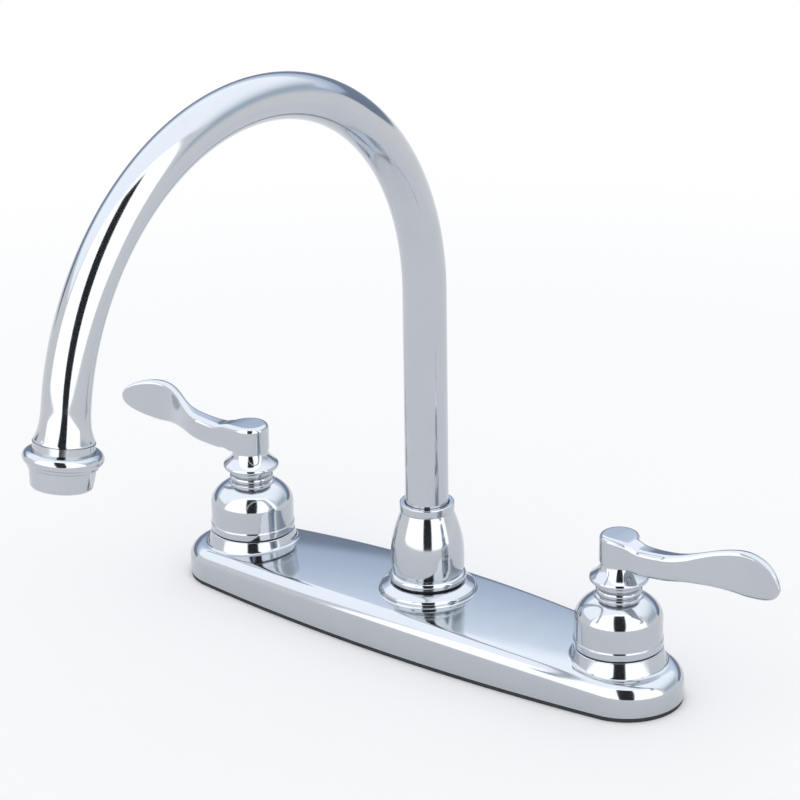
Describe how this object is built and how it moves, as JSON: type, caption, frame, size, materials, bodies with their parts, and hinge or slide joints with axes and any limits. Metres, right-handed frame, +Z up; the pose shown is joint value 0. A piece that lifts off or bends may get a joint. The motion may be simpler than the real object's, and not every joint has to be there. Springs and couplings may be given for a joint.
{
  "type": "kitchen faucet",
  "caption": "Deck-mounted kitchen faucet in polished chrome with a swivelling gooseneck spout between two paddle-shaped lever handles on a long low base plate.",
  "frame": {"origin": "on the deck surface, under the upright axis of the spout, midway between the two handles", "axes": "+Z up, +X to the user's right along the base plate, -Y towards the user; the spout points to -Y"},
  "size_m": [0.3596, 0.2626, 0.2752],
  "materials": {
    "chrome": "mirror polished plating",
    "brass": "machined",
    "gasket_rubber": "matt black foam rubber",
    "seal_rubber": "smooth black",
    "ceramic": "lapped white ceramic",
    "white_plastic": "moulded, satin",
    "steel": "plain"
  },
  "bodies": {
    "base": {"base_gasket": "gasket_rubber", "deck_plate": "chrome", "waterway_body": "brass", "left_bonnet_seal": "seal_rubber", "left_bonnet": "chrome", "left_seat_seal": "seal_rubber", "left_cartridge_body": "white_plastic", "left_fixed_disc": "ceramic", "right_bonnet_seal": "seal_rubber", "right_bonnet": "chrome", "right_seat_seal": "seal_rubber", "right_cartridge_body": "white_plastic", "right_fixed_disc": "ceramic", "spout_seal": "seal_rubber", "spout_nut": "chrome", "spout_thrust_washer": "white_plastic", "spout_bushing": "white_plastic"},
    "spout": {"spout_journal": "brass", "spout_upper_ring": "seal_rubber", "spout_lower_ring": "seal_rubber", "spout_tube": "chrome", "outlet_collar": "chrome", "outlet_washer": "seal_rubber", "aerator_housing": "chrome", "aerator_insert": "white_plastic", "aerator_screen": "steel"},
    "left_handle": {"left_lever": "chrome", "left_handle_skirt": "chrome", "left_cartridge_stem": "brass", "left_stem_ring": "seal_rubber", "left_turning_disc": "ceramic", "left_set_screw": "steel"},
    "right_handle": {"right_lever": "chrome", "right_handle_skirt": "chrome", "right_cartridge_stem": "brass", "right_stem_ring": "seal_rubber", "right_turning_disc": "ceramic", "right_set_screw": "steel"}
  },
  "joints": [
    {"name": "spout_swivel", "type": "hinge", "parent": "base", "child": "spout", "pos_m": [0, 0, 0.0411], "axis": [0, 0, 1], "continuous": true},
    {"name": "left_handle_turn", "type": "hinge", "parent": "base", "child": "left_handle", "pos_m": [-0.1016, 0, 0.0523], "axis": [0, 0, 1], "range_deg": [0, 90]},
    {"name": "right_handle_turn", "type": "hinge", "parent": "base", "child": "right_handle", "pos_m": [0.1016, 0, 0.0523], "axis": [0, 0, 1], "range_deg": [-90, 0]}
  ]
}
